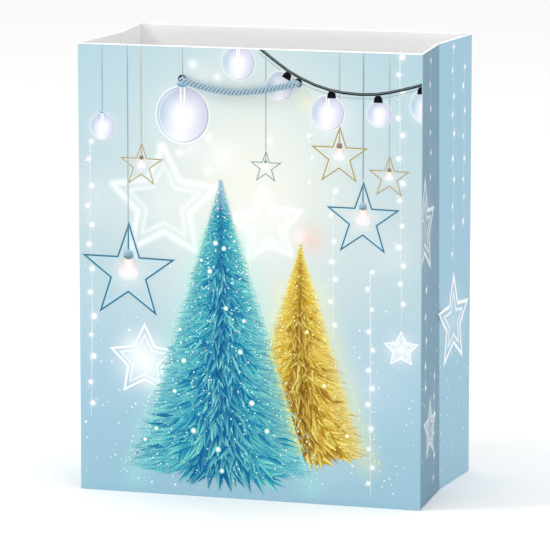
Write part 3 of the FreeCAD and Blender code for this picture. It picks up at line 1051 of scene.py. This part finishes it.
def broad_wall(side, picture):
    """A printed wall with its two rope holes, and the picture's layers on it."""
    sign = facing(side)
    edge = [HALF_WIDTH - d for d in (ROUND_WIDE, 0.15, 0.05, 0.0)]
    columns = np.concatenate([-np.array(edge[::-1]), spaced(-HALF_WIDTH + 1, HALF_WIDTH - 1, 1.0), edge])
    rows = np.concatenate([spaced(FOOT, TOP - 1, 1.0), [TOP - 0.6, TOP - 0.45, TOP - 0.3, TOP - 0.15, TOP]])

    def place(across, up, depth):
        at_side = np.clip((np.abs(across) - (HALF_WIDTH - ROUND_WIDE)) / ROUND_WIDE, 0, 1)
        at_top = np.clip((up - (TOP - ROUND_WIDE)) / ROUND_WIDE, 0, 1)
        rounding = ROUND * np.maximum(at_side, at_top) ** 2 * (1 - depth)
        outwards = HALF_DEPTH + bulge(across, up) - rounding - PAPER * depth
        return np.stack([sign * across, -sign * outwards, up], -1)

    wall = sheet(f"{side}_wall_skin", columns, rows, place, [PRINT, PLAIN, HOLE])
    punch(wall, -sign * (HALF_DEPTH - 2), -sign * (HALF_DEPTH + 2))
    placed = mesh_points(wall.data)
    set_ink(wall.data, picture["far"].background.at(sign * placed[:, 0], placed[:, 2]))
    soften(wall)
    declare(wall, side, "printed_paper", f"{side}_wall")
    shade_holes(side)
    edges = (SIDE_MARGIN - HALF_WIDTH, HALF_WIDTH - SIDE_MARGIN, FOOT + SIDE_MARGIN, TOP - RIM)
    for layer, art in picture.items():
        piece = art.piece(f"{side}_print_{layer}", on_wall(side), edges)
        declare(piece, side, "printed_paper")


# The painted shade plug of a hole starts and ends this far inside the wall's outer face.
SHADE_PLUG_START = 0.36
SHADE_PLUG_END = 1.9


def shade_holes(side):
    """A near-black plug inside each hole, round the rope that fills it: painted shade where the hole looks
    dark.
    """
    sign = facing(side)
    angles = angles_round(24)
    for end, (across, up) in zip(("left", "right"), HOLES):
        points = []
        radii = (0, HOLE_RADIUS, HOLE_RADIUS, 0)
        for depth, radius in zip((SHADE_PLUG_START, SHADE_PLUG_START, SHADE_PLUG_END, SHADE_PLUG_END), radii):
            y = -sign * (HALF_DEPTH - depth)
            points += [(across + radius * math.cos(a), y, up + radius * math.sin(a)) for a in angles]
        faces = ring_faces(3, len(angles))
        plug = make_piece(f"{side}_hole_{end}_shade", points, faces, [HOLE])
        merge_points(plug)
        fix_normals(plug)
        declare(plug, side, "greyboard")


def merge_points(piece):
    """Joins points that lie together."""
    with editing(piece.data) as mesh:
        bmesh.ops.remove_doubles(mesh, verts=mesh.verts, dist=1e-6)


def soften(piece, angle=40):
    """Smooth shading that keeps edges sharper than the angle, in degrees, crisp."""
    mesh = piece.data
    mesh.set_sharp_from_angle(angle=math.radians(angle))


# From a corner of the bag to the end of the front or the back hem.
HEM_CORNER = 5


def hem_depth(across):
    """How thick the turned-in top is. Past the board it thins towards the corners."""
    past = np.clip((np.abs(across) - HEM_HALF) / (HALF_WIDTH - HEM_CORNER - HEM_HALF), 0, 1)
    return HEM_DEPTH * (1 - past) + 0.3 * past


def hem(side):
    """The paper turned in over the top board, from the rim down the inside."""
    sign = facing(side)
    half = HALF_WIDTH - HEM_CORNER
    columns = np.concatenate([[-half], spaced(-HEM_HALF, HEM_HALF, 3.0), [half]])
    # The sheet as (share of the depth, height), from the wall over the rim and down the inside.
    rolled = [(0.0, 0.55), (0.02, 0.2), (0.25, 0.02), (0.6, 0.0), (0.9, 0.15), (1.0, 0.6)]
    over = [(share, TOP - drop) for share, drop in rolled]
    path = over + [(1.0, up) for up in spaced(TOP - 4, HEM_LOW, 3.0)]

    def wave(across, up):
        return 0.1 * math.sin(0.07 * across + 0.5) * math.sin(math.pi * (TOP - up) / (TOP - HEM_LOW))

    points = []
    for across in columns:
        depth = float(hem_depth(across))
        for share, up in path:
            y = INNER_Y - share * depth - max(0.0, wave(across, up)) * share
            points.append((sign * across, -sign * y, up))
        for share, up in path:
            inside = min(share * depth, max(0.02, depth - PAPER))
            y = INNER_Y - inside
            low = up - PAPER if share < 1.0 else up
            points.append((sign * across, -sign * y, min(low, TOP - PAPER)))
    count = len(path)
    ring = list(range(count)) + [2 * count - 1 - i for i in range(count)]
    faces = []
    for c in range(len(columns) - 1):
        for k in range(2 * count):
            a, b = ring[k], ring[(k + 1) % (2 * count)]
            here = 2 * count * c
            there = here + 2 * count
            faces.append((here + a, here + b, there + b, there + a))
    last = 2 * count * (len(columns) - 1)
    faces.append(tuple(reversed(ring)))
    faces.append(tuple(last + i for i in ring))
    piece = make_piece(f"{side}_hem_skin", points, faces, [PLAIN, HOLE], smooth=True)
    fix_normals(piece)
    punch(piece, -sign * (INNER_Y - 4), -sign * (INNER_Y + 1))
    soften(piece, 50)
    declare(piece, side, "white_paper", f"{side}_hem")


def fix_normals(piece):
    """Turns all faces of a closed piece outwards."""
    with editing(piece.data) as mesh:
        bmesh.ops.recalc_face_normals(mesh, faces=mesh.faces)


def crease_inset(up):
    """How far the middle crease of a gusset stands inwards. At the top it is deepest."""
    return CREASE - 1.0 + 1.6 * np.clip(up / TOP, 0, 1)


def on_gusset(side):
    """A function that puts (across, up, depth) on a gusset's outer face. Depth goes inwards.

    Across runs from the front corner, -HALF_DEPTH, to the rear corner on both gussets.
    """
    sign = facing(side)

    def place(across, up, depth):
        inset = crease_inset(up) * (1 - np.abs(across) / HALF_DEPTH)
        belly = 0.3 * np.sin(math.pi * np.clip(np.abs(across) / HALF_DEPTH, 0, 1)) ** 2
        belly = belly * np.sin(math.pi * np.clip((up - FOOT) / (TOP - FOOT), 0, 1))
        x = HALF_WIDTH - inset - depth + belly
        return np.stack([sign * x, across, up], -1)

    return place


def ride_crease(piece):
    """Bakes the placement of a piece of a gusset into its mesh."""
    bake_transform(piece)


# Where the hem of a gusset half starts and ends, from the middle crease.
HEM_START = 2.1
HEM_END = 42.0


def gusset(side, art):
    """One printed side wall in two halves with a crease between them, its picture and its hem."""
    near = np.array([0.0, 0.15, 0.35, 0.7, 1.2, 2.0, 3.0])
    reach = INNER_Y - 0.02
    half = np.concatenate([near, spaced(4.5, reach - 1, 1.8), [reach - 0.4, reach]])
    columns = np.concatenate([-half[:0:-1], half])
    rows = np.concatenate([spaced(FOOT, TOP - 2, 1.8), [TOP - 1.3, TOP - 0.7, TOP - 0.45, TOP - 0.3, TOP]])
    on_face = on_gusset(side)
    mirrored = facing(side) < 0

    def paper(across, up, depth):
        return on_face(across, up, depth * PAPER)

    wall = sheet(f"{side}_gusset_skin", columns, rows, paper, [PRINT, PLAIN], mirrored)
    placed = mesh_points(wall.data)
    set_ink(wall.data, art.background.at(placed[:, 1], placed[:, 2]))
    soften(wall)
    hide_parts(f"{side}_gusset_front", f"{side}_gusset_rear")
    ride_crease(wall)

    def printed(across, up, lift):
        return on_face(across, up, -lift)

    def turned_in(across, up, depth):
        return on_face(across, up, PAPER + 0.01 + depth * (PAPER - 0.02))

    edge = INNER_Y - GUSSET_MARGIN
    edges = (-edge, edge, FOOT + GUSSET_MARGIN, TOP - RIM)
    picture = art.piece(f"{side}_gusset_print", printed, edges)
    if mirrored:
        picture.data.flip_normals()
    ride_crease(picture)

    rows = spaced(HEM_LOW, TOP - 0.05, 3.0)
    for half_name, low, high in (("front", -HEM_END, -HEM_START), ("rear", HEM_START, HEM_END)):
        node = f"{side}_gusset_{half_name}_hem"
        piece = sheet(f"{node}_skin", spaced(low, high, 3.0), rows, turned_in, [PLAIN], mirrored)
        soften(piece)
        declare(piece, f"{side}_gusset_{half_name}", "white_paper", node)


def dress_node(name, finish):
    """Gives a carried-over CAD node a material."""
    node = frame["nodes"][name]
    node.data.materials.clear()
    node.data.materials.append(finish)


# === Base ===


def flatten_with_fold(piece):
    """Gives a piece of the base its own copy of its mesh. The real base folds up against the back."""
    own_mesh(piece)


def flat_sheet(node, outline, low, high, finish, slot):
    """A flat sheet or board with slightly rounded edges, from an outline seen from above."""
    mesh = bmesh.new()
    corners = [mesh.verts.new((x * MM, y * MM, low * MM)) for x, y in outline]
    face = mesh.faces.new(corners)
    up = bmesh.ops.extrude_face_region(mesh, geom=[face])
    moved = [v for v in up["geom"] if isinstance(v, bmesh.types.BMVert)]
    bmesh.ops.translate(mesh, verts=moved, vec=(0, 0, (high - low) * MM))
    bmesh.ops.recalc_face_normals(mesh, faces=mesh.faces)
    bmesh.ops.bevel(mesh, geom=mesh.edges[:], offset=(high - low) * 0.22 * MM, segments=2, affect="EDGES")
    made = bpy.data.meshes.new(f"{node}_skin")
    mesh.to_mesh(made)
    mesh.free()
    made.materials.append(finish)
    piece = new_object(f"{node}_skin", made)
    declare(piece, "back", slot, node)
    flatten_with_fold(piece)


def base_outline(margin, inset_at_crease):
    """The base seen from above: a rectangle whose short sides dip in at the gusset creases."""
    x = HALF_WIDTH - margin
    y = HALF_DEPTH - margin
    dip = x - inset_at_crease
    return [(-x, -y), (x, -y), (dip, 0), (x, y), (-x, y), (-dip, 0)]


def set_side_inks(mesh):
    """Gives each side of the bottom fold the ink of the wall that stands on it. Under the front half of a
    gusset this ink carries that half's painted shade.
    """
    wall = SKY_EDGE[0]
    near, far = gusset_sky(np.array([-HALF_DEPTH / 2, HALF_DEPTH / 2]), None)
    inks = [wall, near, far, wall, far, near]
    layer = mesh.color_attributes.new("ink", "FLOAT_COLOR", "CORNER")
    for face in mesh.polygons:
        for corner in face.loop_indices:
            layer.data[corner].color = (*inks[face.index % len(inks)], 1)


# The bottom fold: the rounding under it, the height of that, and the top of its flat sheet.
FOLD_ROUND = 0.25
FOLD_ROUND_TOP = 0.35
FOLD_SHEET_TOP = 0.42
# The lowest and the highest level of the flaps that lie on it, their reach and their cut corners.
REAR_FLAP = (0.45, 0.8)
SIDE_FLAPS = (0.82, 1.18)
REAR_FLAP_REACH = 70
SIDE_FLAP_REACH = 46
REAR_FLAP_CUT = 8
SIDE_FLAP_CUT = 6


def base():
    """The bottom fold, the flaps glued under the board, and the board."""
    dip = float(crease_inset(0.0))
    # The bottom fold: a low printed band all round, which the walls stand on.
    top = FOOT - 0.03
    outside = base_outline(0.0, dip)
    inside = base_outline(PAPER, dip)
    lower = base_outline(FOLD_ROUND, dip)
    levels = [(lower, 0.0), (outside, FOLD_ROUND_TOP), (outside, top)]
    levels += [(inside, top), (inside, FOLD_SHEET_TOP)]
    points = [(x, y, z) for outline, z in levels for x, y in outline]
    corners = len(outside)
    faces = ring_faces(len(levels) - 1, corners)
    faces.append(tuple(range(4 * corners, 5 * corners)))
    faces.append(tuple(reversed(range(corners))))
    slots = [0] * 2 * corners + [1] * 2 * corners + [1, 0]
    band = make_piece("base_front_flap_skin", points, faces, [PRINT, PLAIN], slots)
    set_side_inks(band.data)
    declare(band, "back", "printed_paper", "base_front_flap")
    flatten_with_fold(band)
    # The inner flaps, in their order from the floor up, and the board.
    x = INNER_X - 0.6 - dip
    y = INNER_Y - 0.6
    cut = REAR_FLAP_CUT
    rear_tip = y - REAR_FLAP_REACH
    rear = [(x, y), (-x, y), (-x, rear_tip + cut)]
    rear += [(-x + cut, rear_tip), (x - cut, rear_tip), (x, rear_tip + cut)]
    flat_sheet("base_rear_flap", rear, *REAR_FLAP, PLAIN, "printed_paper")
    cut = SIDE_FLAP_CUT
    tip = x - SIDE_FLAP_REACH + dip
    outline = [(x, -y), (x, y), (tip + cut, y), (tip, y - cut), (tip, cut - y), (tip + cut, -y)]
    for side in ("left", "right"):
        sign = facing(side)
        turned = [(sign * across, depth) for across, depth in outline]
        flat_sheet(f"base_{side}_flap", turned, *SIDE_FLAPS, PLAIN, "printed_paper")
    x = INNER_X - 1.2 - dip
    y = INNER_Y - 1.2
    board = [(-x, -y), (x, -y), (x, y), (-x, y)]
    flat_sheet("base_board", board, BASE_BOARD_LOW, BASE_BOARD_TOP, BOARD, "greyboard")


def glue_lap():
    """The glued strip at the rear left corner, inside the back wall."""
    low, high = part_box("glue_lap")
    rows = spaced(low.z / MM, high.z / MM, 6)
    columns = spaced(low.x / MM, high.x / MM, 3)

    def place(across, up, depth):
        slant = 2.0 * (up - rows[0]) / (rows[-1] - rows[0])
        edge = np.clip((across - columns[0]) / (columns[-1] - columns[0]), 0, 1)
        y = INNER_Y - PAPER * (1 - depth)
        return np.stack([across - slant * edge, np.full(len(across), y), up], -1)

    piece = sheet("glue_lap_skin", columns, rows, place, [PLAIN])
    soften(piece)
    declare(piece, "back", "white_paper", "glue_lap")


# === Rope handles ===

# The rope: its strands, how far each lies from the middle, one turn of the twist, and the core, painted dark
# as the shade in the grooves between the strands.
ROPE_RADIUS = 1.7
STRANDS = 3
STRAND_RADIUS = 0.66
STRAND_OFFSET = 1.03
PITCH = 6.0
CORE_RADIUS = 1.2
# The distance between the rings of points along a rope.
STEP = 0.4
# The loop as (across, up), and an end inside as (how far outside the wall's face, up).
LOOP_ROUTE = [HOLES[0], (-22.0, 208.8), (2.0, 207.2), HOLES[1]]
END_ROUTE = [(-2.9, 213.4), (-5.9, 210.4), (-6.3, 203.6), (-6.1, 189.6), (-5.0, 165.6)]
# How far outside the wall's face the loop hangs, and the knots.
ROPE_STAND = 2.3
KNOT_DEPTH = -4.7
# The height where each rope end enters its knot.
KNOT_TOPS = {
    ("front", "left"): 131.0,
    ("front", "right"): 138.0,
    ("back", "left"): 112.0,
    ("back", "right"): 117.0,
}


def nurbs_path(name, route):
    """Points along the smooth curve that has a route as its control points, in millimetres."""
    curve = bpy.data.curves.new(name, "CURVE")
    curve.dimensions = "3D"
    curve.resolution_u = 24
    spline = curve.splines.new("NURBS")
    spline.points.add(len(route) - 1)
    for point, place in zip(spline.points, route):
        point.co = (*place, 1)
    spline.order_u = 3
    spline.use_endpoint_u = True
    holder = new_object(name, curve)
    graph = bpy.context.evaluated_depsgraph_get()
    mesh = bpy.data.meshes.new_from_object(holder.evaluated_get(graph))
    points = np.array([v.co for v in mesh.vertices], float)
    discard(holder)
    bpy.data.meshes.remove(mesh)
    return points


def resample(points, step):
    """The same line with evenly spaced points."""
    lengths = np.r_[0, np.cumsum(np.linalg.norm(np.diff(points, axis=0), axis=1))]
    at = np.linspace(0, lengths[-1], max(2, round(lengths[-1] / step) + 1))
    return np.stack([np.interp(at, lengths, points[:, i]) for i in range(3)], -1), at


def frames_along(points):
    """Two steady sideways directions at each point of a line."""
    tangents = np.gradient(points, axis=0)
    tangents /= np.linalg.norm(tangents, axis=1)[:, None]
    start = np.array([0.0, 0.0, 1.0]) if abs(tangents[0][2]) < 0.9 else np.array([0.0, 1.0, 0.0])
    side = start - tangents[0] * (start @ tangents[0])
    sides = []
    for tangent in tangents:
        side = side - tangent * (side @ tangent)
        side = side / np.linalg.norm(side)
        sides.append(side.copy())
    sides = np.array(sides)
    return sides, np.cross(tangents, sides)


def tube(centres, first, second, radii, sides):
    """Points and faces of a closed tube along centres, with a radius at each."""
    angles = angles_round(sides)
    ring = np.cos(angles)[None, :, None] * first[:, None, :]
    ring = ring + np.sin(angles)[None, :, None] * second[:, None, :]
    points = (centres[:, None, :] + ring * radii[:, None, None]).reshape(-1, 3)
    faces = ring_faces(len(centres) - 1, sides)
    faces.append(tuple(reversed(range(sides))))
    faces.append(tuple(range((len(centres) - 1) * sides, len(centres) * sides)))
    return points, faces


def beyond(end, before):
    """A point just under half a rope's diameter past the end of a line."""
    way = (end - before) / np.linalg.norm(end - before)
    return end + way * ROPE_RADIUS * 0.98


def closing(reach):
    """How thick a rounded end is, as a share of the rope, at distances from its tip."""
    return np.sqrt(np.clip(1 - np.clip(1 - reach / ROPE_RADIUS, 0, 0.99) ** 2, 0, 1))


def twisted_rope(name, line, round_start, round_end):
    """A rope of twisted strands round a core that is painted dark as the shade in its grooves. A rounded end
    closes half a diameter further out.
    """
    line = np.asarray(line)
    first_point = beyond(line[0], line[1])
    last_point = beyond(line[-1], line[-2])
    if round_start:
        line = np.vstack([first_point, line])
    if round_end:
        line = np.vstack([line, last_point])
    centres, along = resample(line, STEP)
    first, second = frames_along(centres)
    shrink = np.ones(len(along))
    if round_start:
        shrink *= closing(along)
    if round_end:
        shrink *= closing(along[-1] - along)
    all_points, all_faces = tube(centres, first, second, CORE_RADIUS * shrink, 12)
    all_points = list(all_points)
    slots = [1] * len(all_faces)
    for strand in range(STRANDS):
        angle = -math.tau * along / PITCH + math.tau * strand / STRANDS
        out = np.cos(angle)[:, None] * first + np.sin(angle)[:, None] * second
        middles = centres + out * (STRAND_OFFSET * shrink)[:, None]
        one, two = frames_along(middles)
        points, faces = tube(middles, one, two, STRAND_RADIUS * shrink, 10)
        start = len(all_points)
        all_points += list(points)
        all_faces += [tuple(start + i for i in face) for face in faces]
        slots += [0] * len(faces)
    return make_piece(name, all_points, all_faces, [YARN, CORE], slots, smooth=True)


def declare_cord(piece, route, line, far_end, **more):
    """Turns the first point of a rope's route into metres and keeps nothing. Its line and far end are not
    used.
    """
    tuple(c * MM for c in route[0])


def rope_handle(side):
    """One handle: the loop outside, and inside its two ends with their knots."""
    sign = facing(side)
    hang = HALF_DEPTH + ROPE_STAND
    # The pull of the loop seats the rope against the inner edge of each hole.
    seat = (0.7, -0.3)
    drop = 0.3
    route = [(x, -sign * hang, z) for x, z in LOOP_ROUTE]
    route[0] = (route[0][0] + seat[0], route[0][1], route[0][2] - drop)
    route[-1] = (route[-1][0] + seat[1], route[-1][1], route[-1][2] - drop)
    line = nurbs_path(f"{side}_loop_route", route)
    loop = twisted_rope(f"{side}_handle_loop_rope", line, True, True)
    declare(loop, f"{side}_handle", "rope", f"{side}_handle_loop")
    declare_cord(loop, route, line, "object")
    for end, (hole_x, hole_z), shift in zip(("left", "right"), HOLES, seat):
        top = KNOT_TOPS[side, end]
        middle = (END_ROUTE[-1][1] + top) / 2
        path = [(ROPE_STAND, hole_z - drop), *END_ROUTE]
        path += [(KNOT_DEPTH, middle), (KNOT_DEPTH, top - 1)]
        route = []
        for i, (out, z) in enumerate(path):
            x = hole_x + (shift if i < 2 else 0.0)
            route.append((x, -sign * (HALF_DEPTH + out), z))
        route[1] = (route[1][0], route[1][1], route[1][2] - drop)
        line = nurbs_path(f"{side}_{end}_route", route)
        piece = twisted_rope(f"{side}_handle_{end}_end_rope", line, True, False)
        declare(piece, side, "rope", f"{side}_handle_{end}_end")
        node = f"{side}_handle_{end}_knot"
        tied = tie_knot(node, (hole_x, -sign * (HALF_DEPTH + KNOT_DEPTH), top))
        declare(tied, side, "rope", node)
        declare_cord(piece, route, line, "knot", with_pieces=[tied])


def tie_knot(node, top):
    """A tight overhand knot below top, with a loose end, in the space of its CAD lump."""
    low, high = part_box(node)
    lump_radius = (high.x - low.x) / 2 / MM
    centre = np.array(top) - np.array([0, 0, lump_radius * 0.86])
    turns = np.linspace(0, math.tau, 121)
    # A trefoil, flattened from the front to the back.
    wide = np.sin(turns) + 1.6 * np.sin(2 * turns)
    deep = np.cos(turns) - 1.6 * np.cos(2 * turns)
    path = np.stack([0.86 * wide, 0.72 * deep, -1.35 * np.sin(3 * turns)], -1)
    loose = np.array([[0, 0, -2.0], [0.3, 0, -4.6], [0.1, 0, -8.0], [0.4, 0, -11.2]]) + centre
    lump = twisted_rope(node + "_tied", path + centre, True, True)
    tail = twisted_rope(node + "_tail", nurbs_path("tail_route", [tuple(p) for p in loose]), False, True)
    neck = np.array([centre + [0, 0, 1.5], np.array(top) + [0, 0, 0.2]])
    stem = twisted_rope(node + "_stem", neck, False, False)
    with editing(lump.data) as merged:
        for part in (tail, stem):
            merged.from_mesh(part.data)
    for part in (tail, stem):
        discard(part)
    lump.name = node + "_rope"
    return lump


# === Studio ===


def aim(thing, target):
    """Turns a camera or lamp to look at a target."""
    direction = Vector(target) - thing.location
    thing.rotation_euler = direction.to_track_quat("-Z", "Y").to_euler()


def camera():
    """A long lens from the right of the front and a little above."""
    azimuth = math.radians(16.76)
    elevation = math.radians(9.25)
    distance = 2.0744
    middle = Vector((0, 0, TOP / 2 * MM))
    back = Vector((math.sin(azimuth) * math.cos(elevation), -math.cos(azimuth) * math.cos(elevation),
                   math.sin(elevation)))
    lens = bpy.data.cameras.new("camera")
    lens.sensor_width = 36
    lens.lens = 263.94
    lens.shift_x = -0.0034
    lens.shift_y = -0.0262
    lens.clip_end = 50
    holder = new_object("camera", lens)
    holder.location = middle + back * distance
    aim(holder, middle)
    bpy.context.scene.camera = holder


def lamp_panel(name, place, size, power):
    """A square soft light that faces the bag."""
    light = bpy.data.lights.new(name, "AREA")
    light.size = size
    light.energy = power
    holder = new_object(name, light)
    holder.location = place
    aim(holder, (0, 0, 0.1))


def studio():
    """A plain pale floor under even white light, with a soft key from the front right."""
    mesh = bpy.data.meshes.new("floor")
    reach = 6
    mesh.from_pydata([(-reach, -reach, 0), (reach, -reach, 0), (reach, reach, 0), (-reach, reach, 0)], [],
                     [(0, 1, 2, 3)])
    floor = new_object("floor", mesh)

    def pale(_tree, shader):
        grey = (0.96, 0.96, 0.96, 1)
        set_values(shader, {"Base Color": grey, "Roughness": 0.9, "Specular IOR Level": 0.1})

    mesh.materials.append(material("floor", pale))
    world = bpy.data.worlds.new("world")
    world.use_nodes = True
    set_values(world.node_tree.nodes["Background"], {"Color": (1, 1, 1, 1), "Strength": 0.93})
    bpy.context.scene.world = world
    lamp_panel("key", (-1.6, -0.8, 1.7), 0.45, 13)
    lamp_panel("top", (0.2, -0.1, 2.0), 1.5, 7)
    bpy.context.scene.view_settings.view_transform = "Standard"


camera()
for side in ("front", "back"):
    rope_handle(side)
studio()
picture = front_picture()
for side in ("front", "back"):
    broad_wall(side, picture)
    hem(side)
    dress_node(f"{side}_top_board", BOARD)
gusset_art = gusset_picture()
for side in ("left", "right"):
    gusset(side, gusset_art)
base()
glue_lap()
